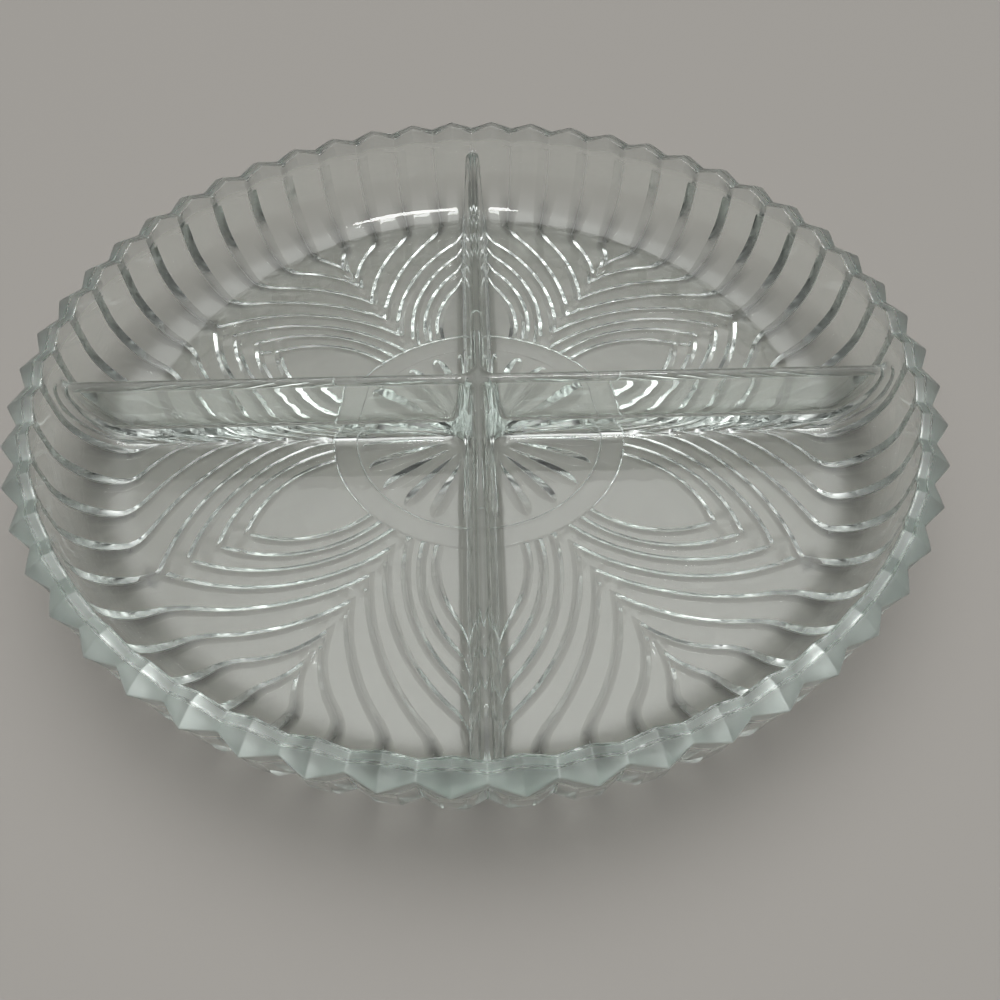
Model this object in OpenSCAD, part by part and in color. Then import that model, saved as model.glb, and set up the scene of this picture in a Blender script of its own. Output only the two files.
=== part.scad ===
// Round relish tray in clear pressed glass: one casting with a patterned floor,
// a fluted side wall, a sawtooth rim and four upright dividers that meet at a
// central hub, so that they part the dish into four compartments.
//
// Frame: millimetres, +Z up, origin at the centre of the underside that the
// tray rests on. +X runs along the right divider and +Y along the back one.
//
// The casting is drawn as its named regions. They meet face to face and
// don't overlap: floor medallion, medallion band, six petal panels, four
// stretches of side wall, four stretches of rim, four dividers and the hub.

/* [Dish] */
// Radius over the points of the rim's teeth
tip_r = 101.6; // [101.4:0.1:102.4]
// Overall height, to the crests of the rim
height = 28.0; // [27.4:0.1:29]
// Thickness of the floor
floor_t = 4.1; // [3.6:0.1:4.6]
// Radius of the flat floor, where it starts to curve up into the wall
floor_r = 80.3; // [80.0:0.1:80.6]
// Outside radius of the curve from floor to wall
cove_r = 18.8; // [18.4:0.1:19.0]

/* [Rim] */
// Teeth round the rim, one to each flute of the wall (a multiple of four plus two)
teeth = 54; // [50:4:58]
// Radius in the notches between the teeth
notch_r = 99.1; // [98.9:0.1:99.4]
// Radius of the outer edge of the rim's top facets
crest_r = 97.8; // [97.4:0.1:98.1]
// Height of the rim above the wall's flutes
rim_h = 4.4; // [4.2:0.1:4.6]
// Drop from the crest of a tooth to the notch beside it, along the top
crest_drop = 2.0; // [1.4:0.1:2.2]
// Drop from the crest of a tooth to its outer point
tip_drop = 2.4; // [2:0.1:2.6]

/* [Flutes of the wall] */
// Width of the V groove between two flutes, on the upright wall
flute_w = 6.2; // [5.4:0.1:6.6]
// Depth of the V groove between two flutes, on the upright wall
flute_d = 1.6; // [1.3:0.1:1.7]

/* [Floor pattern] */
// Outer radius of the central medallion
medal_r = 29.5; // [28.5:0.1:30]
// Outer radius of the plain band round the medallion
band_r = 35.0; // [34:0.1:35]
// Height of the band's underside above the resting plane
band_up = 0.5; // [0.3:0.1:0.8]
// Rays of the medallion's starburst
rays = 24; // [16:8:32]
// Width of the V groove between two rays, at its outer end
ray_w = 1.9; // [1.2:0.1:2.2]
// Depth of the V groove between two rays
ray_d = 0.9; // [0.6:0.1:1.1]
// Width of the V grooves that draw the petals
vein_w = 2.2; // [1.8:0.1:2.6]
// Depth of the V grooves that draw the petals
vein_d = 0.65; // [0.5:0.05:0.8]

/* [Dividers] */
// Height of the dividers' tops above the resting plane
divider_z = 20.8; // [19.8:0.1:21.4]
// Half the thickness of a divider where it meets the floor
divider_foot = 2.9; // [2.6:0.1:3.2]
// Half the thickness at the top, which is also the radius of its round top edge
divider_top = 1.5; // [1.3:0.1:1.8]
// Radius of the fillet along a divider's foot
foot_fillet = 2.4; // [2:0.1:2.8]
// Half the width of the hub where the dividers cross, to the ends of its fillets
hub_half = 5.4; // [5.2:0.1:6]

/* [Hidden] */

$fn = 96;
glass = [0.80, 0.86, 0.83, 0.6];
pitch = 360 / teeth;                    // one tooth and one flute
rim_z = height - rim_h;                 // where the wall ends and the rim starts
in_cove = cove_r - floor_t;             // inside radius of the curve
wall_in = floor_r + in_cove;            // inside radius of the upright wall
rim_in = wall_in + 0.2;                 // inside radius at the rim
wall_out = floor_r + cove_r;            // outside radius at the top of the curve
lip_out = wall_out + 1.2;               // outside radius just under the rim
top_c = divider_z - divider_top;        // centre height of a divider's round top
e = 0.02;

// The grooves of half a petal, each as three points on its arc. A point is
// [radius, angle from the petal's middle line]. The first three start at the
// band and meet their mirror images in pointed arches, the fourth closes at the
// flat floor's edge, and the rest run from the line between two petals to the
// grooves of the wall.
veins = [
    [[band_r, 16.0], [52.3, 7.5], [59.9, 0]],
    [[band_r, 21.3], [55.9, 10.0], [66.5, 0]],
    [[band_r, 27.3], [55.4, 15.0], [73.6, 0]],
    [[40.6, 30], [62.5, 15.0], [floor_r, 0]],
    [[48.6, 30], [63.8, 19.6], [floor_r, pitch]],
    [[56.1, 30], [70.2, 21.6], [floor_r, 2 * pitch]],
    [[64.5, 30], [73.6, 25.9], [floor_r, 3 * pitch]],
    [[72.9, 30], [77.4, 28.6], [floor_r, 4 * pitch]]
];

function polar(p) = [p[0] * cos(p[1]), p[0] * sin(p[1])];
function centre3(a, b, c) =
    let (d = 2 * (a[0] * (b[1] - c[1]) + b[0] * (c[1] - a[1]) + c[0] * (a[1] - b[1])),
         aa = a * a, bb = b * b, cc = c * c)
    [(aa * (b[1] - c[1]) + bb * (c[1] - a[1]) + cc * (a[1] - b[1])) / d,
     (aa * (c[0] - b[0]) + bb * (a[0] - c[0]) + cc * (b[0] - a[0])) / d];
function heading(v) = atan2(v[1], v[0]);
function wrap(a) = a > 180 ? a - 360 : a <= -180 ? a + 360 : a;

// A V groove in the underside, along the arc through three points
module vein(v) {
    a = polar(v[0]); b = polar(v[1]); c = polar(v[2]);
    m = centre3(a, b, c);
    r = norm(a - m);
    h0 = heading(a - m); sweep = wrap(heading(c - m) - h0);
    more = 1.2 / r * 57.3;               // a little beyond each end
    from = sweep > 0 ? h0 - more : h0 + sweep - more;
    translate([m[0], m[1], 0]) rotate([0, 0, from])
        rotate_extrude(angle = abs(sweep) + 2 * more)
            polygon([[r - vein_w / 2, -0.1], [r - vein_w / 2, 0], [r, vein_d], [r + vein_w / 2, 0], [r + vein_w / 2, -0.1]]);
}

// Half a petal's panel, 30 degrees wide, above its middle line
module half_petal() {
    difference() {
        rotate_extrude(angle = 30) translate([band_r, 0]) square([floor_r - band_r, floor_t]);
        for (v = veins) vein(v);
    }
}

module petal_panel(turn) {
    color(glass) rotate([0, 0, turn]) union() {
        half_petal();
        mirror([0, 1, 0]) half_petal();
    }
}
module petal_panel_right_back() { petal_panel(30); }
module petal_panel_back() { petal_panel(90); }
module petal_panel_left_back() { petal_panel(150); }
module petal_panel_left_front() { petal_panel(210); }
module petal_panel_front() { petal_panel(270); }
module petal_panel_right_front() { petal_panel(330); }

// Central disc of the floor, with the starburst cut in its underside
module floor_medallion() {
    color(glass) difference() {
        cylinder(h = floor_t, r = medal_r);
        for (i = [0 : rays - 1]) rotate([0, 0, (i + 0.5) * 360 / rays])
            translate([9, 0, 0]) rotate([90, 0, 90])
                linear_extrude(medal_r - 1.4 - 9)
                    polygon([[-ray_w / 2, -0.1], [ray_w / 2, -0.1], [ray_w / 2, 0], [0, ray_d], [-ray_w / 2, 0]]);
    }
}

// Plain band round the medallion, whose underside stands clear of the table
module medallion_band() {
    color(glass) rotate_extrude()
        translate([medal_r, band_up]) square([band_r - medal_r, floor_t - band_up]);
}

// Outline of the wall in a half plane, from the flat floor's edge to the rim
module wall_section() {
    difference() {
        union() {
            intersection() {
                translate([floor_r, cove_r]) circle(r = cove_r);
                translate([floor_r, 0]) square([cove_r + 1, cove_r]);
            }
            polygon([[floor_r, cove_r - e], [wall_out, cove_r - e], [lip_out, rim_z], [floor_r, rim_z]]);
        }
        translate([floor_r, cove_r]) circle(r = in_cove);
        polygon([[floor_r - 1, cove_r - e], [wall_in, cove_r - e], [rim_in, rim_z + e], [floor_r - 1, rim_z + e]]);
    }
}

// V groove that runs up the outside of the wall between two flutes. It leaves
// the floor as deep as the petals' grooves, and the centre of its arc lies nearer
// to the middle of the dish, so that it grows deeper and wider on the way up.
module flute_groove() {
    tilt = atan((lip_out - wall_out) / (rim_z - cove_r));
    far = flute_d + 0.3;                 // from the bottom of the V to beyond the wall
    translate([floor_r - (flute_d - vein_d), 0, cove_r]) rotate([90, 0, 0]) rotate([0, 0, -90])
        rotate_extrude(angle = 90)
            polygon([[cove_r - vein_d, 0], [cove_r - vein_d + far, flute_w / 2 * far / flute_d], [cove_r - vein_d + far, -flute_w / 2 * far / flute_d]]);
    translate([wall_out, 0, cove_r]) rotate([0, tilt, 0]) translate([0, 0, -0.2])
        linear_extrude(rim_z - cove_r + 1)
            polygon([[-flute_d, 0], [0.3, flute_w / 2 * (1 + 0.3 / flute_d)], [0.3, -flute_w / 2 * (1 + 0.3 / flute_d)]]);
}

// A quarter of the wall, from 0 to 90 degrees
module wall_quarter() {
    difference() {
        rotate_extrude(angle = 90) wall_section();
        for (k = [0 : ceil(90 / pitch)]) rotate([0, 0, (k + 0.5) * pitch]) flute_groove();
    }
}
module side_wall_back_right() { color(glass) wall_quarter(); }
module side_wall_back_left() { color(glass) mirror([1, 0, 0]) wall_quarter(); }
module side_wall_front_left() { color(glass) mirror([1, 0, 0]) mirror([0, 1, 0]) wall_quarter(); }
module side_wall_front_right() { color(glass) mirror([0, 1, 0]) wall_quarter(); }

// A quarter of the rim, from 0 to 90 degrees. A V cut across each notch leaves
// the crests between, and a cone takes the top down to the outer points.
module rim_quarter() {
    n = floor(90 / pitch);
    outline = concat([[0, 0]], [for (i = [0 : 2 * n + 1])
        let (r = i % 2 == 0 ? tip_r : notch_r, a = i * pitch / 2) [r * cos(a), r * sin(a)]]);
    top_fall = tip_drop / (tip_r - crest_r);
    under_rise = (rim_h - tip_drop) / (tip_r - lip_out);
    steep = crest_drop / (crest_r * tan(pitch / 2));
    difference() {
        translate([0, 0, rim_z]) linear_extrude(rim_h) polygon(outline);
        cylinder(h = 3 * height, r = rim_in, center = true);
        rotate_extrude() polygon([[crest_r, height], [tip_r + 1, height - tip_drop - top_fall], [tip_r + 1, height + 1], [crest_r, height + 1]]);
        rotate_extrude() polygon([[lip_out, rim_z], [lip_out, rim_z - 1], [tip_r + 1, rim_z - 1], [tip_r + 1, height - tip_drop + under_rise]]);
        for (k = [0 : n]) rotate([0, 0, (k + 0.5) * pitch]) translate([rim_in - 2, 0, height - crest_drop])
            rotate([90, 0, 90]) linear_extrude(tip_r - rim_in + 4) polygon([[0, 0], [8, 8 * steep], [-8, 8 * steep]]);
    }
}
module sawtooth_rim_back_right() { color(glass) rim_quarter(); }
module sawtooth_rim_back_left() { color(glass) mirror([1, 0, 0]) rim_quarter(); }
module sawtooth_rim_front_left() { color(glass) mirror([1, 0, 0]) mirror([0, 1, 0]) rim_quarter(); }
module sawtooth_rim_front_right() { color(glass) mirror([0, 1, 0]) rim_quarter(); }

// The hollow of the dish, which the dividers stand in
module hollow() {
    rotate_extrude() {
        difference() {
            translate([0, floor_t]) square([wall_in, cove_r - floor_t]);
            difference() {
                translate([floor_r, floor_t - 1]) square([in_cove + 1, in_cove + 1]);
                translate([floor_r, cove_r]) circle(r = in_cove);
            }
        }
        polygon([[0, cove_r - e], [wall_in, cove_r - e], [rim_in, rim_z], [0, rim_z]]);
    }
}

// Cross-section of a divider: drafted sides, round top edge, filleted foot
module divider_section() {
    polygon([[-divider_foot, floor_t], [divider_foot, floor_t], [divider_top, top_c], [-divider_top, top_c]]);
    translate([0, top_c]) circle(r = divider_top);
    for (s = [-1, 1]) difference() {
        translate([s > 0 ? divider_foot - 0.3 : -divider_foot - foot_fillet, floor_t])
            square([foot_fillet + 0.3, foot_fillet]);
        translate([s * (divider_foot + foot_fillet), floor_t + foot_fillet]) circle(r = foot_fillet);
        translate([s > 0 ? divider_foot - 2.3 : -divider_foot + 0.3, floor_t - 1]) square([2, foot_fillet + 2]);
    }
}

// One divider along +X, from the hub to the wall
module divider() {
    intersection() {
        rotate([90, 0, 90]) translate([0, 0, hub_half]) linear_extrude(rim_in) divider_section();
        hollow();
    }
}
module divider_right() { color(glass) divider(); }
module divider_back() { color(glass) rotate([0, 0, 90]) divider(); }
module divider_left() { color(glass) rotate([0, 0, 180]) divider(); }
module divider_front() { color(glass) rotate([0, 0, 270]) divider(); }

// Where the dividers cross, with a fillet in each corner
module divider_hub() {
    color(glass) difference() {
        union() {
            for (t = [0, 90]) rotate([0, 0, t]) rotate([90, 0, 90]) translate([0, 0, -hub_half])
                linear_extrude(2 * hub_half) intersection() {
                    divider_section();
                    translate([-hub_half, 0]) square([2 * hub_half, height]);
                }
            translate([-hub_half, -hub_half, floor_t]) cube([2 * hub_half, 2 * hub_half, top_c - floor_t]);
            translate([-divider_top, -divider_top, top_c - e]) cube([2 * divider_top, 2 * divider_top, divider_top + e]);
        }
        for (x = [-1, 1], y = [-1, 1]) translate([x * hub_half, y * hub_half, floor_t + 0.6])
            cylinder(h = top_c - floor_t - 0.6 + e, r1 = hub_half - divider_foot, r2 = hub_half - divider_top);
    }
}

floor_medallion();
medallion_band();
petal_panel_right_back();
petal_panel_back();
petal_panel_left_back();
petal_panel_left_front();
petal_panel_front();
petal_panel_right_front();
side_wall_back_right();
side_wall_back_left();
side_wall_front_left();
side_wall_front_right();
sawtooth_rim_back_right();
sawtooth_rim_back_left();
sawtooth_rim_front_left();
sawtooth_rim_front_right();
divider_right();
divider_back();
divider_left();
divider_front();
divider_hub();
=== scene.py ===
"""Looks of the round relish tray in clear pressed glass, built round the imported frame.

The tray is one casting, so its look is one closed mesh of glass. The underside and the outside are laid out on a
map of the moulded surface: distance along the profile from the centre, and angle. The pattern repeats every 60
degrees and is mirrored within that, so a 30 degree wedge is meshed and copied twelve times. The inside is built as
four compartments, level by level. Lengths here are in millimetres until the mesh is made.
"""
import math

import bpy
import numpy as np
from mathutils import Matrix, Vector
from mathutils.geometry import delaunay_2d_cdt


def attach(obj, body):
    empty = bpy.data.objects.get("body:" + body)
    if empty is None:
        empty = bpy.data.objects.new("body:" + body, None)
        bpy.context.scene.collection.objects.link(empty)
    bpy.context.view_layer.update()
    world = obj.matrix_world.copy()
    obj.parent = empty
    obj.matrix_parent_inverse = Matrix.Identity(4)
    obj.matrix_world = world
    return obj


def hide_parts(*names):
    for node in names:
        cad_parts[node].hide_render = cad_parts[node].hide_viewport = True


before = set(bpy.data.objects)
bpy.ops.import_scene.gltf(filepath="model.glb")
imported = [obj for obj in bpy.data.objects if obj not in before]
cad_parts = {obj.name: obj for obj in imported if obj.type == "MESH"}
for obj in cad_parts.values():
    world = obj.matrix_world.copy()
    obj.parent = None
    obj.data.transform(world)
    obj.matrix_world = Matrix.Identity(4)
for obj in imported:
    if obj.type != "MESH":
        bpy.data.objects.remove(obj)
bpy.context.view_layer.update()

MM = 0.001
TAU = 2 * math.pi

# ---------------------------------------------------------------- sizes
TIP_R = 101.6        # radius over the points of the rim
NOTCH_R = 99.1       # radius in the notches between them
TIP_Z = 25.8         # height of the points
CREST_Z = 28.0       # height of the crests of the rim
NOTCH_Z = 26.0       # height of the notches, on top
CREST_R = 97.8       # radius where the top facets end and the outer facets start
RIM_IN = 95.2        # inside radius at the rim
FLOOR_T = 4.1        # thickness of the floor
FLOOR_R = 80.3       # radius of the flat floor
COVE_OUT = 18.8      # outside radius of the curve from floor to wall
COVE_IN = 14.7       # inside radius of the same curve
WALL_IN = 95.0
TEETH = 54
PITCH = 360 / TEETH
DIV_Z = 20.8         # height of the dividers
MEDAL_R, BAND_R, BAND_D = 29.5, 35.0, 0.5


def smooth(x):
    x = np.clip(x, 0.0, 1.0)
    return x * x * (3 - 2 * x)


# ---------------------------------------------------------------- profile of the outside
LEAN = math.radians(80)                        # the wall leans out by 10 degrees above the curve
S_LEAN = FLOOR_R + COVE_OUT * LEAN
R_LEAN = FLOOR_R + COVE_OUT * math.sin(LEAN)
Z_LEAN = COVE_OUT * (1 - math.cos(LEAN))


def profile(s):
    """Radius, height and inward normal (radial, vertical) of the outside at the distance s along the profile."""
    s = np.asarray(s, float)
    a = np.clip((s - FLOOR_R) / COVE_OUT, 0.0, LEAN)
    up = np.maximum(s - S_LEAN, 0.0)
    flat = np.minimum(s, FLOOR_R)
    r = flat + COVE_OUT * np.sin(a) + up * math.cos(LEAN)
    z = COVE_OUT * (1 - np.cos(a)) + up * math.sin(LEAN)
    return r, z, -np.sin(a), np.cos(a)


# ---------------------------------------------------------------- grooves
def groove_depth(x, half, steep, shoulder, bottom):
    """Depth of a V groove with rounded shoulders and bottom, at the distance x from its centre line."""
    x = np.abs(x)
    d = steep * (half - x)
    sh = np.minimum(shoulder, half)
    near = np.abs(x - half) < sh
    d = np.where(near, steep * (half + sh - x) ** 2 / (4 * np.maximum(sh, 1e-6)), d)
    d = np.where(x >= half + sh, 0.0, d)
    b = np.minimum(bottom, half * 0.5)
    low = x < b
    d = np.where(low, steep * (half - b / 2 - x * x / (2 * np.maximum(b, 1e-6))), d)
    return np.maximum(d, 0.0)


def arc3(a, b, c, n):
    """Points along the circle through three points, from a to c by way of b."""
    a, b, c = (np.asarray(p, float) for p in (a, b, c))
    d = 2 * (a[0] * (b[1] - c[1]) + b[0] * (c[1] - a[1]) + c[0] * (a[1] - b[1]))
    aa, bb, cc = a @ a, b @ b, c @ c
    m = np.array([(aa * (b[1] - c[1]) + bb * (c[1] - a[1]) + cc * (a[1] - b[1])) / d,
                  (aa * (c[0] - b[0]) + bb * (a[0] - c[0]) + cc * (b[0] - a[0])) / d])
    r = np.linalg.norm(a - m)
    h0 = math.atan2(*(a - m)[::-1])
    h1 = math.atan2(*(c - m)[::-1])
    sweep = (h1 - h0 + math.pi) % TAU - math.pi
    t = h0 + sweep * np.linspace(0, 1, n)
    return m + r * np.stack([np.cos(t), np.sin(t)], -1)


def pol(r, deg):
    return np.array([r * math.cos(math.radians(deg)), r * math.sin(math.radians(deg))])


def resample(pts, step):
    seg = np.linalg.norm(np.diff(pts, axis=0), axis=1)
    at = np.concatenate([[0], np.cumsum(seg)])
    n = max(2, int(round(at[-1] / step)) + 1)
    want = np.linspace(0, at[-1], n)
    return np.stack([np.interp(want, at, pts[:, k]) for k in (0, 1)], -1)


S_JOIN = 86.0        # where the wedge's free mesh hands over to the wall's rows
# Arcs of half a petal. Angles run from the line between two petals (0) to the petal's middle line (30).
CLOSED = [  # from the band to the middle line, where each meets its mirror image in a point
    (pol(BAND_R - 0.6, 14.4), pol(52.3, 22.5), pol(59.9, 30.0)),
    (pol(BAND_R - 0.6, 9.1), pol(55.9, 20.0), pol(66.5, 30.0)),
    (pol(BAND_R - 0.6, 3.1), pol(55.4, 15.0), pol(73.6, 30.0)),
]
OPEN = [  # from the line between two petals to the wall, each with the angle of the wall's groove that it joins
    (pol(40.6, 0.0), pol(62.5, 15.0), pol(79.4, 29.6), 30.0),
    (pol(48.6, 0.0), pol(63.8, 10.4), pol(78.4, 20.9), 23.3333),
    (pol(56.1, 0.0), pol(70.2, 8.4), pol(78.6, 14.4), 16.6667),
    (pol(64.5, 0.0), pol(73.6, 4.1), pol(79.0, 8.1), 10.0),
    (pol(72.9, 0.0), pol(77.4, 1.3), pol(80.2, 2.5), 3.3333),
]


def extend(pts, before, after):
    a = pts[0] + (pts[0] - pts[1]) / np.linalg.norm(pts[0] - pts[1]) * before
    b = pts[-1] + (pts[-1] - pts[-2]) / np.linalg.norm(pts[-1] - pts[-2]) * after
    return np.vstack([[a], pts, [b]])


def floor_curves():
    """Centre lines of the grooves on the map, with how far each runs on the wall."""
    out = []
    for a, b, c in CLOSED:
        p = arc3(a, b, c, 90)
        out.append((resample(extend(p, 0.0, 4.0), 1.5), None))
    for a, b, c, wall in OPEN:
        p = arc3(a, b, c, 90)
        end = pol(S_JOIN, wall)
        way = pol(1.0, wall)
        p0, v0 = p[-1], p[-1] - p[-2]
        v0 = v0 / np.linalg.norm(v0)
        reach = np.linalg.norm(end - p0)
        t = np.linspace(0, 1, 24)[1:, None]
        h = ((2 * t ** 3 - 3 * t ** 2 + 1) * p0 + (t ** 3 - 2 * t ** 2 + t) * v0 * reach
             + (-2 * t ** 3 + 3 * t ** 2) * end + (t ** 3 - t ** 2) * way * reach)
        pts = resample(np.vstack([p, h]), 1.5)
        out.append((np.vstack([[pts[0] + (pts[0] - pts[1]) / np.linalg.norm(pts[0] - pts[1]) * 3.5], pts]), wall))
    return out


RIM_ROUGH, GROOVE_ROUGH, FLUTE_ROUGH = 0.45, 0.11, 0.28
W_FLOOR, D_FLOOR = 2.2, 0.64       # width and depth of the grooves in the floor
W_WALL, D_WALL = 6.8, 1.75         # and on the wall
SHOULDER, BOTTOM = 0.10, 0.12


def half_width(s):
    """The grooves widen as they come to the curve, and deepen on it."""
    return 0.5 * (W_FLOOR + (W_WALL - W_FLOOR) * smooth((np.asarray(s, float) - 74.0) / 26.0))


def steepness(s):
    return (D_FLOOR + (D_WALL - D_FLOOR) * smooth((np.asarray(s, float) - 85.0) / 18.0)) / half_width(s)


CURVES = floor_curves()
RAY_IN, RAY_OUT, RAY_HALF, RAY_STEEP = 8.5, 28.2, 2.05, 0.42
RAYS = (7.5, 22.5)                 # angles of the starburst's cuts in the wedge


def ray_half(t):
    """Half the width of a spear-shaped cut at the distance t from the centre."""
    u = np.clip((np.asarray(t, float) - RAY_IN) / (RAY_OUT - RAY_IN), 0.0, 1.0)
    return RAY_HALF * np.where(u < 0.76, np.sin(0.5 * math.pi * (u / 0.76)) ** 0.9, np.sqrt(np.maximum(1 - ((u - 0.76) / 0.24) ** 2, 0.0)))


def curve_distance(p, line):
    """Distance of each point from a polyline, and how far from the centre its nearest point is."""
    a, b = line[:-1], line[1:]
    ab = b - a
    best = np.full(len(p), 1e9)
    at = np.zeros(len(p))
    for i in range(len(a)):
        t = np.clip(((p - a[i]) @ ab[i]) / (ab[i] @ ab[i]), 0.0, 1.0)
        q = a[i] + t[:, None] * ab[i]
        d = np.linalg.norm(p - q, axis=1)
        near = d < best
        best = np.where(near, d, best)
        at = np.where(near, np.linalg.norm(q, axis=1), at)
    return best, at


def map_depth(p):
    """How deep the moulded pattern is at each point of the wedge's map."""
    s = np.linalg.norm(p, axis=1)
    d = np.zeros(len(p))
    on_petals = smooth((s - BAND_R) / 0.35)
    for line, wall in CURVES:
        for mirror in (0, 1, 2):     # the groove itself, and its mirror images across both edges of the wedge
            q = line
            if mirror == 1:
                q = line * np.array([1, -1])
            elif mirror == 2:
                c, n = math.cos(math.radians(60)), math.sin(math.radians(60))
                q = np.stack([line[:, 0] * c + line[:, 1] * n, line[:, 0] * n - line[:, 1] * c], -1)
            x, at = curve_distance(p, q)
            v = groove_depth(x, half_width(at), steepness(at), SHOULDER, BOTTOM)
            d = np.maximum(d, v * on_petals)
    band = BAND_D * smooth((s - (MEDAL_R - 0.2)) / 0.4) * (1 - smooth((s - (BAND_R - 0.2)) / 0.4))
    for a in RAYS + (-RAYS[0], 60 - RAYS[1]):
        u = pol(1.0, a)
        t = p @ u
        x = p @ np.array([-u[1], u[0]])
        h = ray_half(t)
        v = np.where(h > 0.02, groove_depth(x, np.maximum(h, 0.02), RAY_STEEP, 0.16, 0.15), 0.0)
        d = np.maximum(d, v)
    return np.maximum(d, band)


# ---------------------------------------------------------------- columns of the wall
LAND = (0.30, 0.5, 0.70)


def wall_columns(s):
    """Angles of the wall's columns across the wedge at the distance s, from the edge at 0 to the edge at 30 degrees."""
    r = float(profile(s)[0])
    h = float(half_width(s))
    offs = [-(h + SHOULDER), -h, -(h - SHOULDER), -BOTTOM, 0.0, BOTTOM, h - SHOULDER, h, h + SHOULDER]
    deg = [math.degrees(o / r) for o in offs]
    out = [0.0]
    left = 0.0
    for v in (PITCH / 2, 1.5 * PITCH, 2.5 * PITCH, 3.5 * PITCH, 30.0):
        grp = [v + g for g in deg]
        land = LAND if left > 0 else (0.5,)
        out += [left + (grp[0] - left) * f for f in land]
        out += [g for g in grp if g <= 30.0 + 1e-9]
        left = grp[-1]
    return out


def wall_depth(a, s):
    """Depth of the wall's grooves at the angle a and the distance s."""
    r = float(profile(s)[0])
    v = min((PITCH / 2 + k * PITCH for k in range(5)), key=lambda g: abs(g - a))
    x = math.radians(abs(a - v)) * r
    return float(groove_depth(np.array([x]), np.array([float(half_width(s))]), float(steepness(s)), SHOULDER, BOTTOM)[0])


# ---------------------------------------------------------------- the wedge's free mesh
def triangulate(pts, edges, faces, kind, eps):
    """Constrained triangulation; the input's points keep their exact place."""
    co, _, tri, orig, _, _ = delaunay_2d_cdt([Vector(p) for p in pts], edges, [], kind, eps, True)
    co = np.array([tuple(c) for c in co])
    for i, o in enumerate(orig):
        if len(o):
            co[i] = pts[o[0]]
    tri = np.array([t for t in tri])
    e, g = co[tri[:, 1]] - co[tri[:, 0]], co[tri[:, 2]] - co[tri[:, 0]]
    area = e[:, 0] * g[:, 1] - e[:, 1] * g[:, 0]
    tri = np.where((area < 0)[:, None], tri[:, ::-1], tri)
    if faces:
        # only what lies within the outline
        poly = np.array([pts[i] for i in faces[0]])
        mid = co[tri].mean(axis=1)
        odd = np.zeros(len(mid), bool)
        for (x0, y0), (x1, y1) in zip(poly, np.roll(poly, -1, axis=0)):
            if y0 != y1:
                cut = ((y0 > mid[:, 1]) != (y1 > mid[:, 1])) & (mid[:, 0] < (x1 - x0) * (mid[:, 1] - y0) / (y1 - y0) + x0)
                odd ^= cut
        tri = tri[odd]
    return co, tri


def inside(p, eps=1e-6):
    a = np.degrees(np.arctan2(p[:, 1], p[:, 0]))
    s = np.linalg.norm(p, axis=1)
    return (a > -eps) & (a < 30 + eps) & (s < S_JOIN + eps)


def wedge_mesh():
    pts, edges = [], []

    def chain(line, closed=False):
        first = len(pts)
        pts.extend([tuple(q) for q in line])
        edges.extend([(first + i, first + i + 1) for i in range(len(line) - 1)])
        if closed:
            edges.append((first + len(line) - 1, first))

    join = [pol(S_JOIN, a) for a in wall_columns(S_JOIN)]
    edge0 = [pol(s, 0.0) for s in np.linspace(0, S_JOIN, 60)[:-1]]
    edge1 = [pol(s, 30.0) for s in np.linspace(S_JOIN, 0, 60)[1:-1]]
    chain(edge0 + join + edge1, closed=True)

    for r in (MEDAL_R - 0.2, MEDAL_R, MEDAL_R + 0.2, BAND_R - 0.2, BAND_R, BAND_R + 0.2, BAND_R + 0.4):
        chain([pol(r, a) for a in np.linspace(0, 30, 21)])

    for line, wall in CURVES:
        t = np.gradient(line, axis=0)
        t /= np.linalg.norm(t, axis=1)[:, None]
        n = np.stack([-t[:, 1], t[:, 0]], -1)
        s = np.linalg.norm(line, axis=1)
        h = half_width(s)
        for k, off in enumerate((h + SHOULDER, h, h - SHOULDER, BOTTOM + 0 * h, 0 * h, -BOTTOM + 0 * h, SHOULDER - h, -h, -h - SHOULDER)):
            q = line + n * off[:, None]
            if wall is not None:
                r = float(profile(S_JOIN)[0])
                a = wall + math.degrees(off[-1] / r)
                if a > 30 + 1e-6:
                    q = q[:-1]
                else:
                    q[-1] = pol(S_JOIN, min(a, 30.0))
            chain(q)

    for a in RAYS:
        u = pol(1.0, a)
        w = np.array([-u[1], u[0]])
        t = np.concatenate([np.linspace(RAY_IN + 0.05, 23.0, 15), np.linspace(23.6, RAY_OUT - 0.5, 8), np.linspace(RAY_OUT - 0.32, RAY_OUT - 0.02, 5)])
        h = ray_half(t)
        for f in (1, -1):
            chain([u * ti + w * f * (hi + 0.16) for ti, hi in zip(t, h)])
            chain([u * ti + w * f * hi for ti, hi in zip(t, h)])
            chain([u * ti + w * f * max(hi - 0.16, hi * 0.5) for ti, hi in zip(t, h)])
            chain([u * ti + w * f * min(0.15, hi * 0.5) for ti, hi in zip(t, h)])
        chain([u * ti for ti in t])
        pts.append(tuple(u * (RAY_OUT + 0.18)))
        pts.append(tuple(u * (RAY_IN - 0.16)))

    # Points on the lands, clear of the grooves' own lines
    have = np.array(pts)
    extra = []
    row = 0
    for s in np.concatenate([np.arange(3.0, 78.0, 2.6), np.arange(79.5, S_JOIN - 0.6, 1.3)]):
        n = max(1, int(round(s * math.radians(30) / 2.6)))
        for i in range(n):
            a = 30.0 * (i + (0.5 if row % 2 else 0.25)) / n
            extra.append(pol(s, a))
        row += 1
    extra = np.array(extra)
    keep = []
    for q in extra:
        if np.min(np.linalg.norm(have - q, axis=1)) > 0.75:
            keep.append(tuple(q))
    pts += keep

    co, tri = triangulate(pts, edges, [], 0, 1e-5)
    mid = co[tri].mean(axis=1)
    tri = tri[inside(mid, 0.0)]
    used = np.unique(tri)
    new = -np.ones(len(co), int)
    new[used] = np.arange(len(used))
    return co[used], new[tri]


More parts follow.
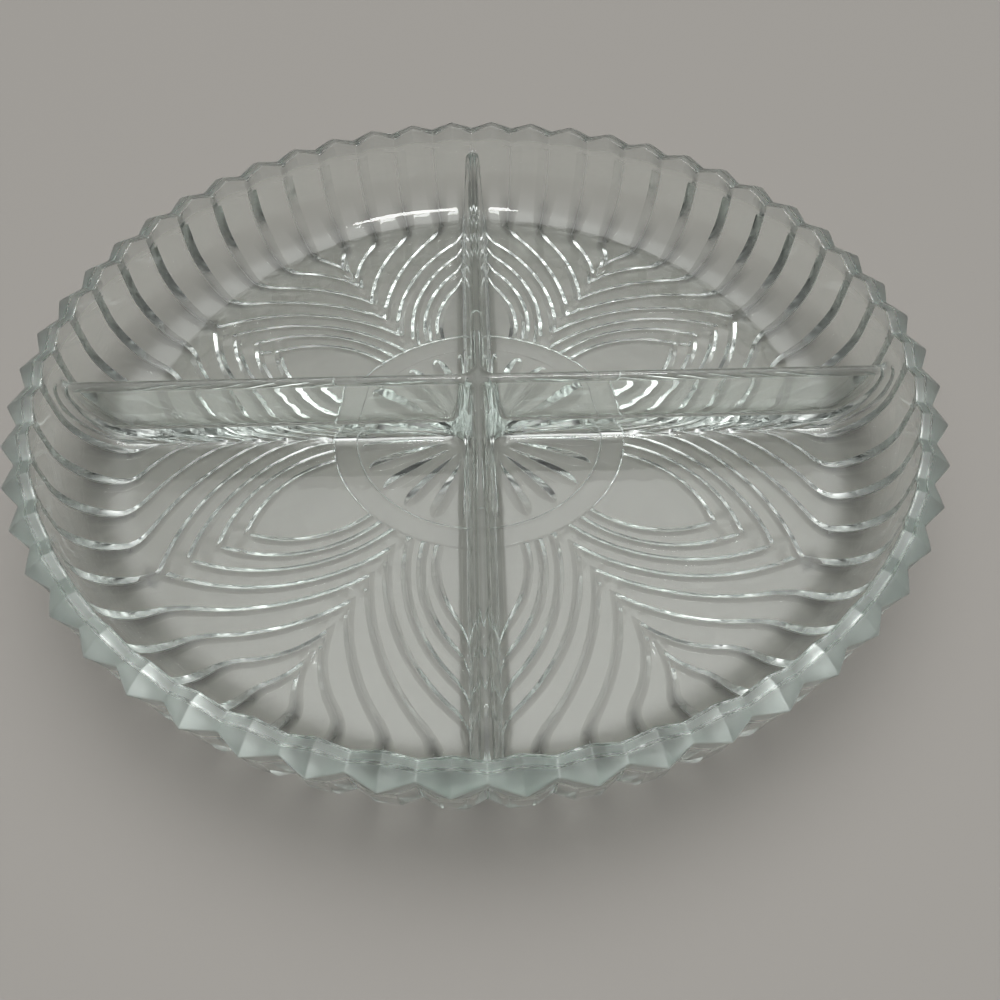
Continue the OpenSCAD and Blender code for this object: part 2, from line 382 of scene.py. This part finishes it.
def place(p, depth):
    """Points of the map, at a depth into the glass, in space."""
    s = np.linalg.norm(p, axis=1)
    a = np.arctan2(p[:, 1], p[:, 0])
    r, z, nr, nz = profile(s)
    r = r + nr * depth
    z = z + nz * depth
    return np.stack([r * np.cos(a), r * np.sin(a), z], -1)


class Builder:
    """Collects patches; points that fall together are welded at the end."""

    def __init__(self):
        self.v, self.f, self.n = [], [], 0

    def add(self, verts, faces):
        verts = np.asarray(verts, float)
        faces = np.asarray(faces, int)
        self.v.append(verts)
        self.f.append(faces + self.n)
        self.n += len(verts)

    def merged(self):
        v = np.vstack(self.v)
        f = np.vstack(self.f)
        # Points that share a cell of any of eight shifted grids are one point
        group = np.arange(len(v))
        for shift in range(8):
            off = np.array([shift & 1, shift >> 1 & 1, shift >> 2 & 1]) * 0.5
            key = np.floor(v / 0.002 + off).astype(np.int64)
            _, inv = np.unique(key, axis=0, return_inverse=True)
            inv = inv.reshape(-1)
            low = np.full(inv.max() + 1, len(v))
            np.minimum.at(low, inv, group)
            new = low[inv]
            join = np.arange(len(v))
            np.minimum.at(join, group, new)
            while True:
                nxt = join[join]
                if (nxt == join).all():
                    break
                join = nxt
            group = join[group]
        first, inv = np.unique(group, return_inverse=True)
        v = v[first]
        f = inv.reshape(-1)[f]
        ok = (f[:, 0] != f[:, 1]) & (f[:, 1] != f[:, 2]) & (f[:, 0] != f[:, 2])
        return v, f[ok]


def grid_faces(rows, cols, closed=False):
    """Triangles of a grid of rows x cols points; every cell is cut along the same diagonal."""
    out = []
    last = cols if closed else cols - 1
    for i in range(rows - 1):
        for j in range(last):
            a = i * cols + j
            b = i * cols + (j + 1) % cols
            c = (i + 1) * cols + (j + 1) % cols
            d = (i + 1) * cols + j
            out += [(a, b, c), (a, c, d)]
    return np.array(out)


def zip_rings(builder, lower, upper):
    """Joins two closed rings of points, each sorted by angle, that don't have the same number of points."""
    la = np.arctan2(lower[:, 1], lower[:, 0]) % TAU
    ua = np.arctan2(upper[:, 1], upper[:, 0]) % TAU
    la = np.where(la > TAU - 1e-7, 0.0, la)
    ua = np.where(ua > TAU - 1e-7, 0.0, ua)
    lower, la = lower[np.argsort(la)], np.sort(la)
    upper, ua = upper[np.argsort(ua)], np.sort(ua)
    n, m = len(la), len(ua)
    la, ua = np.append(la, la[0] + TAU), np.append(ua, ua[0] + TAU)
    i = j = 0
    tri = []
    while i < n or j < m:
        if j >= m or (i < n and la[i + 1] <= ua[j + 1]):
            tri.append((i % n, (i + 1) % n, n + j % m))
            i += 1
        else:
            tri.append((i % n, n + (j + 1) % m, n + j % m))
            j += 1
    builder.add(np.vstack([lower, upper]), tri)


def twelve(builder, verts, faces):
    """Adds a wedge from 0 to 30 degrees and its eleven mirrored and turned copies."""
    for k in range(6):
        a = math.radians(60 * k)
        c, s = math.cos(a), math.sin(a)
        for mirror in (1, -1):
            v = verts * np.array([1, mirror, 1])
            v = np.stack([v[:, 0] * c - v[:, 1] * s, v[:, 0] * s + v[:, 1] * c, v[:, 2]], -1)
            builder.add(v, faces if mirror == 1 else faces[:, ::-1])


# ---------------------------------------------------------------- underside and outside
glass = Builder()
wp, wt = wedge_mesh()
wd = map_depth(wp)
for i in np.nonzero(np.abs(np.linalg.norm(wp, axis=1) - S_JOIN) < 1e-4)[0]:
    wd[i] = wall_depth(math.degrees(math.atan2(wp[i, 1], wp[i, 0])), S_JOIN)
wv = place(wp, wd)
cross = np.cross(wv[wt[:, 1]] - wv[wt[:, 0]], wv[wt[:, 2]] - wv[wt[:, 0]])
wt = np.where((cross[:, 2] > 0)[:, None], wt[:, ::-1], wt)       # the underside faces down
twelve(glass, wv, wt)

S_TOP = S_LEAN + (20.4 - Z_LEAN) / math.sin(LEAN)
rows = np.concatenate([np.linspace(S_JOIN, S_LEAN, 17), np.linspace(S_LEAN, S_TOP, 5)[1:]])
grid = []
for s in rows:
    cols = wall_columns(s)
    r, z, nr, nz = (float(x) for x in profile(s))
    for a in cols:
        d = wall_depth(a, s)
        rr, zz = r + nr * d, z + nz * d
        grid.append((rr * math.cos(math.radians(a)), rr * math.sin(math.radians(a)), zz))
n_cols = len(wall_columns(S_JOIN))
gf = grid_faces(len(rows), n_cols)
twelve(glass, np.array(grid), gf)

# ---------------------------------------------------------------- rim
DELTAS = [0.0, 0.13, 0.9, 1.66667, 2.35, 2.75, 3.18, PITCH / 2]
ring_deg = []
for k in range(TEETH):
    ring_deg += [k * PITCH + d for d in DELTAS] + [(k + 1) * PITCH - d for d in DELTAS[-2:0:-1]]
ring_deg = np.array(ring_deg)
from_tip = np.abs((ring_deg + PITCH / 2) % PITCH - PITCH / 2)
U = from_tip / (PITCH / 2)


def soft_ramp(u, e0, e1):
    """A ramp from 0 to 1 that is rounded at both ends."""
    t = np.where(u < e0, e0 / 2 + u * u / (2 * e0), u)
    return np.where(u > 1 - e1, 1 - e1 / 2 - (1 - u) ** 2 / (2 * e1), t)


T = soft_ramp(U, 0.045, 0.05)
top_drop = (CREST_Z - NOTCH_Z + 0.12) * (0.80 * T + 0.20 * T * T)
top_z = CREST_Z + 0.03 - top_drop
edge_r = TIP_R + 0.05 - (TIP_R - NOTCH_R + 0.1) * soft_ramp(U, 0.05, 0.09)
edge_z = TIP_Z - 0.35 * T
chord_r = CREST_R * math.cos(math.radians(PITCH / 2)) / np.cos(np.radians(PITCH / 2 - from_tip))


def ring(r, z):
    a = np.radians(ring_deg)
    r = r + 0 * ring_deg
    z = z + 0 * ring_deg
    return np.stack([r * np.cos(a), r * np.sin(a), z], -1)


def wall_r(z):
    return R_LEAN + (z - Z_LEAN) / math.tan(LEAN)


half_deg = np.degrees(half_width(S_TOP) / wall_r(20.4))
valley_x = np.radians(PITCH / 2 - from_tip) * wall_r(22.0)
groove = groove_depth(valley_x, np.full(len(valley_x), float(half_width(S_TOP))), float(steepness(S_TOP)), SHOULDER, BOTTOM)

rim_rows = []
Z_FLARE, Z_EDGE = 21.4, 25.25
for z in (20.9, Z_FLARE - 0.12, Z_FLARE):
    rim_rows.append(ring(wall_r(z) - groove, z))
for k in (0.04, 0.35, 0.7, 0.965, 1.0):
    low, high = wall_r(Z_FLARE) - groove, edge_r - 0.10
    rim_rows.append(ring(low * (1 - k) + high * k, Z_FLARE + (Z_EDGE + edge_z - TIP_Z - Z_FLARE) * k))
rim_rows.append(ring(edge_r - 0.02, edge_z - 0.42))
rim_rows.append(ring(edge_r, edge_z - 0.2))
rim_rows.append(ring(edge_r - 0.10, edge_z - 0.02))
# outer facets, from the edge in to the chord
for f in (0.12, 0.5, 0.88):
    r = edge_r + (chord_r - edge_r) * f
    z = edge_z + (top_z - edge_z) * f
    rim_rows.append(ring(r, z))
rim_rows.append(ring(chord_r - 0.05, top_z - 0.10))
rim_rows.append(ring(chord_r - 0.30, top_z - 0.015))
# top facets
for f in (0.35, 0.75):
    rim_rows.append(ring(chord_r - 0.30 + (RIM_IN + 0.45 - chord_r + 0.30) * f, top_z + 0.0))
rim_rows.append(ring(RIM_IN + 0.42, top_z - 0.02))
rim_rows.append(ring(RIM_IN + 0.17, top_z - 0.12))
rim_rows.append(ring(RIM_IN + 0.03, top_z - 0.34))
rim_rows.append(ring(RIM_IN, top_z - 0.62))
rim_rows.append(ring(RIM_IN - 0.02, 24.6))

wall_top = np.array(grid[-n_cols:])
full = []
for k in range(6):
    a = math.radians(60 * k)
    c, s = math.cos(a), math.sin(a)
    for mirror in (1, -1):
        v = wall_top * np.array([1, mirror, 1])
        full.append(np.stack([v[:, 0] * c - v[:, 1] * s, v[:, 0] * s + v[:, 1] * c, v[:, 2]], -1))
full = np.vstack(full)
_, first = np.unique(np.round(full / 0.002).astype(np.int64), axis=0, return_index=True)
full = full[first]
zip_rings(glass, full, rim_rows[0])
stack = np.vstack(rim_rows)
glass.add(stack, grid_faces(len(rim_rows), len(ring_deg), closed=True))

# ---------------------------------------------------------------- inside
TOP_ROUND = 1.5
DRAFT = math.radians(6.25)
FOOT = 2.5
C_TOP = DIV_Z - TOP_ROUND
LINE_A = TOP_ROUND * math.cos(DRAFT)
LINE_Z = C_TOP + TOP_ROUND * math.sin(DRAFT)
FOOT_Z = FLOOR_T + FOOT


def side(z):
    """Half the thickness of a divider at the height z, with the fillet at its foot and its round top."""
    line = LINE_A + (LINE_Z - z) * math.tan(DRAFT)
    if z >= LINE_Z:
        return math.sqrt(max(TOP_ROUND ** 2 - (z - C_TOP) ** 2, 0.0))
    touch = FOOT_Z - FOOT * math.sin(DRAFT)
    if z >= touch:
        return line
    cx = LINE_A + (LINE_Z - touch) * math.tan(DRAFT) + FOOT * math.cos(DRAFT)
    return cx - math.sqrt(max(FOOT ** 2 - (FOOT_Z - z) ** 2, 0.0))


def bowl(z):
    """Radius of the inside at the height z."""
    if z < FLOOR_T + COVE_IN:
        return FLOOR_R + math.sqrt(max(COVE_IN ** 2 - (FLOOR_T + COVE_IN - z) ** 2, 0.0))
    return WALL_IN + (RIM_IN - 0.02 - WALL_IN) * (z - FLOOR_T - COVE_IN) / (24.6 - FLOOR_T - COVE_IN)


END_DEG = 1.66667
levels = [FLOOR_T + COVE_IN * (1 - math.cos(math.radians(a))) for a in
          [0, 4, 7.5, 11, 14.5, 18, 21.5, 25, 28.5, 32.5, 37, 41.5, 46, 50.5, 55, 60, 65, 70, 75, 80, 85, 90]]
levels += [LINE_Z + 0.001, 19.75, 20.05, 20.32, 20.54, 20.70, 20.775, DIV_Z]
ARC_N = 104
LINE_T = np.linspace(0, 1, 22)


def corner_wall(z):
    """Radius of the fillet between a divider's side and the wall."""
    b = bowl(z)
    full_r = b * math.sin(math.radians(END_DEG)) / (1 + math.sin(math.radians(END_DEG)))
    return 0.9 + (full_r - 0.9) * float(smooth((z - FLOOR_T + 1.0) / 5.0))


def corner_hub(z):
    return 3.0 + 1.3 * (1 - float(smooth((z - FLOOR_T) / 9.0)))


def loop(z):
    """Outline of the back right compartment at the height z, from the hub along +X, round the wall and back."""
    a, b, c1, c2 = side(z), bowl(z), corner_hub(z), corner_wall(z)
    x0 = math.sqrt((b - c2) ** 2 - (a + c2) ** 2)
    t = math.degrees(math.atan2(a + c2, x0))
    out = []
    for g in np.linspace(225, 270, 7)[:-1]:
        out.append((a + c1 + c1 * math.cos(math.radians(g)), a + c1 + c1 * math.sin(math.radians(g))))
    for f in LINE_T:
        out.append((a + c1 + (x0 - a - c1) * f, a))
    for g in np.linspace(-90, t, 9)[1:-1]:
        out.append((x0 + c2 * math.cos(math.radians(g)), a + c2 + c2 * math.sin(math.radians(g))))
    half = []
    for i in range(ARC_N // 2 + 1):
        g = math.radians(t + (45 - t) * i / (ARC_N // 2))
        half.append((b * math.cos(g), b * math.sin(g)))
    out += half
    out = np.array(out)
    other = out[:-1][:, ::-1][::-1]
    return np.vstack([out, other])[:-1]       # the hub's corner point is there once


RISE = 2.0           # how far a divider's end climbs the wall, as a concave fillet


def climb(p, z):
    """Raises the points near a divider's end where it meets the wall."""
    r = np.hypot(p[:, 0], p[:, 1])
    gap = np.clip(bowl(DIV_Z) - r, 0.0, RISE)
    lift = RISE - np.sqrt(np.maximum(RISE ** 2 - (RISE - gap) ** 2, 0.0))
    a = np.degrees(np.arctan2(p[:, 1], p[:, 0]))
    off = np.abs((a + 45) % 90 - 45)
    side_fade = 1 - smooth((off - 0.6) / 3.2)
    return lift * side_fade * float(smooth((z - 16.0) / (DIV_Z - 16.0)))


inner = []
for z in levels:
    q = loop(z)
    inner.append(np.column_stack([q, z + climb(q, z)]))
n_loop = len(inner[0])
quarter_faces = grid_faces(len(inner), n_loop, closed=True)
quarter = np.vstack(inner)


def four(verts, faces):
    """Adds a patch of the back right compartment to all four."""
    for sx, sy in ((1, 1), (-1, 1), (-1, -1), (1, -1)):
        v = verts * np.array([sx, sy, 1])
        glass.add(v, faces if sx * sy > 0 else faces[:, ::-1])


# The loop runs anticlockwise seen from above and the levels go up, so a compartment's faces are turned to look inwards
four(quarter, quarter_faces[:, ::-1])

# Floor of a compartment
ring0 = inner[0][:, :2]
pts = [tuple(p) for p in ring0]
edges = [(i, (i + 1) % n_loop) for i in range(n_loop)]
for x in np.arange(8.0, 80.0, 4.0):
    for y in np.arange(8.0, 80.0, 4.0):
        if math.hypot(x, y) < FLOOR_R - 2.0:
            pts.append((x + (2.0 if int(y / 4) % 2 else 0.0), y))
co, tri = triangulate(pts, edges, [list(range(n_loop))], 0, 1e-5)
four(np.column_stack([co, np.full(len(co), FLOOR_T)]), tri)

# Flat top of the hub, between the four corners' fillets
top = inner[-1]
n_corner = 6
hub = [top[i] for i in range(0, n_corner + 1)]                      # from the corner's middle to the ridge along +X
hub_line = np.array([p[:2] for p in hub])
corner_pts = []
for k in range(4):
    c, s = round(math.cos(k * math.pi / 2)), round(math.sin(k * math.pi / 2))
    arc = np.vstack([hub_line[::-1], hub_line[1:][:, ::-1]])         # ridge at +X, corner, ridge at +Y
    arc = arc[:-1]
    corner_pts.append(np.array([[p[0] * c - p[1] * s, p[0] * s + p[1] * c] for p in arc]))
star = np.vstack(corner_pts)
pts = [tuple(p) for p in star] + [(0.0, 0.0)]
edges = [(i, (i + 1) % len(star)) for i in range(len(star))]
co, tri = triangulate(pts, edges, [list(range(len(star)))], 0, 1e-6)
glass.add(np.column_stack([co, np.full(len(co), DIV_Z)]), tri)

# The end of a divider, between the fillets of two compartments and the wall
k0 = n_corner + len(LINE_T) - 1                                     # the ridge's last point
k1 = k0 + 8                                                         # the first point on the wall
fil = top[k0:k1 + 1][:, :2]
b_top = bowl(DIV_Z)
STEP = (90 - 2 * END_DEG) / ARC_N
wall_pts = [(b_top * math.cos(math.radians(g)), b_top * math.sin(math.radians(g))) for g in (END_DEG / 2, 0.0, -END_DEG / 2)]
outline = [tuple(p) for p in fil] + wall_pts + [(p[0], -p[1]) for p in fil[::-1]][:-1]
pts = list(outline)
for gx, gy in ((0.35, 0.0), (0.7, 0.12), (0.7, -0.12), (1.2, 0.0), (1.2, 0.35), (1.2, -0.35), (1.7, 0.25), (1.7, -0.25), (1.7, 0.75), (1.7, -0.75),
               (2.2, 0.0), (2.2, 0.6), (2.2, -0.6), (2.2, 1.3), (2.2, -1.3), (2.55, 0.35), (2.55, -0.35), (2.55, 1.05), (2.55, -1.05)):
    pts.append((fil[0][0] + gx, gy))
edges = [(i, (i + 1) % len(outline)) for i in range(len(outline))]
co, tri = triangulate(pts, edges, [list(range(len(outline)))], 0, 1e-6)
end3 = np.column_stack([co, DIV_Z + climb(co, DIV_Z)])
for k in range(4):
    c, s = round(math.cos(k * math.pi / 2)), round(math.sin(k * math.pi / 2))
    v = np.stack([end3[:, 0] * c - end3[:, 1] * s, end3[:, 0] * s + end3[:, 1] * c, end3[:, 2]], -1)
    glass.add(v, tri)

# The wall above the dividers, from the top level to the rim
first_ring = []
for k in range(4):
    c, s = round(math.cos(k * math.pi / 2)), round(math.sin(k * math.pi / 2))
    q = [(b_top * math.cos(math.radians(g)), b_top * math.sin(math.radians(g)))
         for g in [-END_DEG / 2, 0.0, END_DEG / 2] + [END_DEG + STEP * i for i in range(ARC_N + 1)]]
    q = np.array(q)
    h = DIV_Z + climb(q, DIV_Z)
    first_ring.append(np.stack([q[:, 0] * c - q[:, 1] * s, q[:, 0] * s + q[:, 1] * c, h], -1))
first_ring = np.vstack(first_ring)
wall_rows = [first_ring]
for f in (0.3, 0.62):
    r = bowl(DIV_Z + (24.0 - DIV_Z) * f)
    d = first_ring.copy()
    d[:, :2] *= r / b_top
    d[:, 2] = first_ring[:, 2] + (24.0 - first_ring[:, 2]) * f
    wall_rows.append(d)
d = first_ring.copy()
d[:, :2] *= bowl(24.0) / b_top
d[:, 2] = 24.0
wall_rows.append(d)
stack = np.vstack(wall_rows)
glass.add(stack, grid_faces(len(wall_rows), len(first_ring), closed=True)[:, ::-1])
zip_rings(glass, wall_rows[-1], rim_rows[-1])
glass.f[-1] = glass.f[-1][:, ::-1]

V, F = glass.merged()
a, b, c = V[F[:, 0]], V[F[:, 1]], V[F[:, 2]]
print("volume cm3:", (np.einsum("ij,ij->i", a, np.cross(b, c)).sum() / 6000).round(2))

# Directed edges of a closed, evenly turned surface each have their twin
he = np.vstack([F[:, [0, 1]], F[:, [1, 2]], F[:, [2, 0]]])
code = he[:, 0].astype(np.int64) * len(V) + he[:, 1]
twin = he[:, 1].astype(np.int64) * len(V) + he[:, 0]
loose = np.setdiff1d(code, twin)
print("tray mesh:", len(V), "points", len(F), "triangles", len(loose), "edges without a twin;",
      len(code) - len(np.unique(code)), "edges used twice one way")

# Normals weighted by the square of the area keep the flats flat and put the turn into the narrow rounded edges
fn = np.cross(V[F[:, 1]] - V[F[:, 0]], V[F[:, 2]] - V[F[:, 0]])
fn *= np.linalg.norm(fn, axis=1)[:, None]
vn = np.zeros_like(V)
for k in range(3):
    np.add.at(vn, F[:, k], fn)
vn /= np.maximum(np.linalg.norm(vn, axis=1), 1e-15)[:, None]

mesh = bpy.data.meshes.new("tray")
mesh.from_pydata((V * MM).tolist(), [], F.tolist())
mesh.polygons.foreach_set("use_smooth", np.ones(len(F), bool))
mesh.update()
mesh.normals_split_custom_set_from_vertices(vn.tolist())

# The rim's outer side and top have lost their polish with use; the inside and the pattern keep theirs
point_r = np.hypot(V[:, 0], V[:, 1])
worn = smooth((V[:, 2] - 21.6) / 1.2) * smooth((point_r - RIM_IN - 0.25) / 0.5)
mesh.attributes.new("worn", "FLOAT", "POINT").data.foreach_set("value", worn.astype(np.float32))
# The grooves are as the mould left them, a little duller than the rest; the same mask also carries the painted shade on
# the grooves at the foot of the wall
deep = np.where(point_r < FLOOR_R, V[:, 2], np.where(V[:, 2] < Z_LEAN, COVE_OUT - np.hypot(point_r - FLOOR_R, COVE_OUT - V[:, 2]),
                                                     (wall_r(V[:, 2]) - point_r) * math.sin(LEAN)))
dull_and_shaded_groove = smooth((deep - 0.04) / 0.22) * (deep < 2.7) * (1 - smooth((V[:, 2] - 21.0) / 0.5))
dull_and_shaded_groove = np.where(point_r < BAND_R + 0.4, smooth((deep - BAND_D - 0.04) / 0.22) * (deep < 2.7), dull_and_shaded_groove)
# and the crease between the rim's top and its outer facets is smooth
off_tip = np.abs((np.degrees(np.arctan2(V[:, 1], V[:, 0])) + PITCH / 2) % PITCH - PITCH / 2)
crease = CREST_R * math.cos(math.radians(PITCH / 2)) / np.cos(np.radians(PITCH / 2 - off_tip)) - 0.17
keen = np.exp(-((point_r - crease) / 0.22) ** 2) * (V[:, 2] > 25.6)
groove_rough = GROOVE_ROUGH + (FLUTE_ROUGH - GROOVE_ROUGH) * smooth((point_r - 70.0) / 16.0)
finish = np.maximum(RIM_ROUGH * worn * (1 - 0.75 * keen), groove_rough * dull_and_shaded_groove)
mesh.attributes.new("finish", "FLOAT", "POINT").data.foreach_set("value", finish.astype(np.float32))
# Painted shade: the grooves round the foot of the wall are darkened in the base colour, to look as dark through the
# glass as they do on such a tray
painted_groove_shade = dull_and_shaded_groove * smooth((point_r - 77.0) / 7.0) * (1 - smooth((point_r - 90.0) / 5.0))
mesh.attributes.new("painted_groove_shade", "FLOAT", "POINT").data.foreach_set("value", painted_groove_shade.astype(np.float32))
tray = bpy.data.objects.new("tray", mesh)
bpy.context.scene.collection.objects.link(tray)


# ---------------------------------------------------------------- glass
RIM_TINT = (0.80, 0.818, 0.806, 1)
# painted shade: the dark base colour given to the grooves round the foot of the wall
GROOVE_PAINTED_SHADE = (0.42, 0.435, 0.428, 1)


def glass_material():
    mat = bpy.data.materials.new("clear_glass")
    mat.use_nodes = True
    nt = mat.node_tree
    nt.nodes.clear()
    out = nt.nodes.new("ShaderNodeOutputMaterial")
    p = nt.nodes.new("ShaderNodeBsdfPrincipled")
    tint = nt.nodes.new("ShaderNodeMix")
    tint.data_type = "RGBA"
    tint.inputs[6].default_value = (0.962, 0.99, 0.972, 1)
    tint.inputs[7].default_value = RIM_TINT
    rough = nt.nodes.new("ShaderNodeAttribute")
    rough.attribute_name = "finish"
    nt.links.new(rough.outputs["Fac"], p.inputs["Roughness"])
    worn_part = nt.nodes.new("ShaderNodeAttribute")
    worn_part.attribute_name = "worn"
    nt.links.new(worn_part.outputs["Fac"], tint.inputs[0])
    # painted shade: the grooves round the foot of the wall take the dark colour above
    painted_shade_mix = nt.nodes.new("ShaderNodeMix")
    painted_shade_mix.data_type = "RGBA"
    painted_shade_mix.inputs[7].default_value = GROOVE_PAINTED_SHADE
    painted_shade_attr = nt.nodes.new("ShaderNodeAttribute")
    painted_shade_attr.attribute_name = "painted_groove_shade"
    nt.links.new(painted_shade_attr.outputs["Fac"], painted_shade_mix.inputs[0])
    nt.links.new(tint.outputs[2], painted_shade_mix.inputs[6])
    nt.links.new(painted_shade_mix.outputs[2], p.inputs["Base Color"])
    p.inputs["IOR"].default_value = 1.52
    p.inputs["Transmission Weight"].default_value = 1.0
    tex = nt.nodes.new("ShaderNodeTexCoord")
    noise = nt.nodes.new("ShaderNodeTexNoise")
    noise.inputs["Scale"].default_value = 110.0
    noise.inputs["Detail"].default_value = 2.0
    noise.inputs["Roughness"].default_value = 0.45
    bump = nt.nodes.new("ShaderNodeBump")
    bump.inputs["Strength"].default_value = 0.10
    bump.inputs["Distance"].default_value = 0.0012
    nt.links.new(tex.outputs["Object"], noise.inputs["Vector"])
    nt.links.new(noise.outputs["Fac"], bump.inputs["Height"])
    nt.links.new(bump.outputs["Normal"], p.inputs["Normal"])
    nt.links.new(p.outputs["BSDF"], out.inputs["Surface"])
    vol = nt.nodes.new("ShaderNodeVolumeAbsorption")
    vol.inputs["Color"].default_value = (0.76, 0.82, 0.79, 1)
    vol.inputs["Density"].default_value = 14.0
    nt.links.new(vol.outputs["Volume"], out.inputs["Volume"])
    return mat


tray.data.materials.append(glass_material())
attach(tray, "root")
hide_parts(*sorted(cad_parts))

# ---------------------------------------------------------------- floor
fm = bpy.data.meshes.new("floor")
fm.from_pydata([(-12, -12, 0), (12, -12, 0), (12, 12, 0), (-12, 12, 0)], [], [(0, 1, 2, 3)])
floor = bpy.data.objects.new("floor", fm)
floor.location.z = -0.0002
bpy.context.scene.collection.objects.link(floor)
fmat = bpy.data.materials.new("floor")
fmat.use_nodes = True
fb = fmat.node_tree.nodes["Principled BSDF"]
fb.inputs["Base Color"].default_value = (0.462, 0.440, 0.412, 1)
fb.inputs["Roughness"].default_value = 0.75
floor.data.materials.append(fmat)

# ---------------------------------------------------------------- light
# A dim room under a bright ceiling: little comes from the side, most from overhead
SKY = ((0, 0.33), (3, 0.30), (8, 0.03), (15, 0.01), (25, 0.04), (35, 0.16), (45, 0.42), (55, 0.70), (65, 0.95), (75, 1.25), (90, 1.90))
# Softly brighter parts of the ceiling: bearing, height, outer and inner radius in degrees, and how much they add
PATCHES = ((80, 66, 34, 10, 1.15),)

scene = bpy.context.scene
world = bpy.data.worlds.new("world")
scene.world = world
world.use_nodes = True
nodes, links = world.node_tree.nodes, world.node_tree.links
coords = nodes.new("ShaderNodeTexCoord")
sep = nodes.new("ShaderNodeSeparateXYZ")
ramp = nodes.new("ShaderNodeValToRGB")
links.new(coords.outputs["Generated"], sep.inputs["Vector"])
links.new(sep.outputs["Z"], ramp.inputs["Fac"])
stops = ramp.color_ramp.elements
for i, (height, c) in enumerate(SKY):
    at = math.sin(math.radians(height))
    stop = stops[0] if i == 0 else stops[len(stops) - 1] if i == len(SKY) - 1 else stops.new(at)
    stop.position = at
    stop.color = (c, c, c * 0.985, 1)
total = ramp.outputs["Color"]
for bearing, height, outer, inner_r, adds in PATCHES:
    b, h = math.radians(bearing), math.radians(height)
    dot = nodes.new("ShaderNodeVectorMath")
    dot.operation = "DOT_PRODUCT"
    dot.inputs[1].default_value = (math.cos(b) * math.cos(h), math.sin(b) * math.cos(h), math.sin(h))
    links.new(coords.outputs["Generated"], dot.inputs[0])
    near = nodes.new("ShaderNodeMapRange")
    near.interpolation_type = "SMOOTHSTEP"
    near.inputs["From Min"].default_value = math.cos(math.radians(outer))
    near.inputs["From Max"].default_value = math.cos(math.radians(inner_r))
    near.inputs["To Max"].default_value = adds
    links.new(dot.outputs["Value"], near.inputs["Value"])
    mix = nodes.new("ShaderNodeMix")
    mix.data_type = "RGBA"
    mix.blend_type = "ADD"
    mix.clamp_result = False
    mix.inputs[0].default_value = 1.0
    links.new(total, mix.inputs[6])
    links.new(near.outputs["Result"], mix.inputs[7])
    total = mix.outputs[2]
# Past the floor's edge the camera sees a plain backdrop, as pale as the floor
path = nodes.new("ShaderNodeLightPath")
plain = nodes.new("ShaderNodeMix")
plain.data_type = "RGBA"
plain.inputs[7].default_value = (0.355, 0.345, 0.325, 1)
links.new(path.outputs["Is Camera Ray"], plain.inputs[0])
links.new(total, plain.inputs[6])
links.new(plain.outputs[2], nodes["Background"].inputs["Color"])
nodes["Background"].inputs["Strength"].default_value = 1.03


def area(name, loc, target, size, power, colour=(1, 1, 1)):
    light = bpy.data.lights.new(name, "AREA")
    light.shape = "RECTANGLE"
    light.size, light.size_y = size
    light.energy = power
    light.color = colour
    ob = bpy.data.objects.new(name, light)
    ob.location = loc
    ob.rotation_euler = (Vector(target) - Vector(loc)).to_track_quat("-Z", "Y").to_euler()
    scene.collection.objects.link(ob)
    return ob


lamp = area("ceiling_lamp", (0.11, -0.02, 1.4), (0.11, -0.02, 0), (0.44, 0.17), 3.5)
lamp.visible_diffuse = False

# ---------------------------------------------------------------- camera
cam_data = bpy.data.cameras.new("camera")
cam = bpy.data.objects.new("camera", cam_data)
scene.collection.objects.link(cam)
cam_data.sensor_width = 36.0
cam_data.lens = 34.583
cam_data.clip_start = 0.01
cam_data.clip_end = 40
cam.location = (-0.000133, -0.161136, 0.171970)
cam.rotation_euler = tuple(math.radians(a) for a in (39.4216, -0.0313, -1.8255))
scene.camera = cam

scene.view_settings.view_transform = "Standard"
scene.view_settings.look = "None"
scene.cycles.max_bounces = 32
scene.cycles.transmission_bounces = 32
scene.cycles.glossy_bounces = 16
scene.cycles.transparent_max_bounces = 32
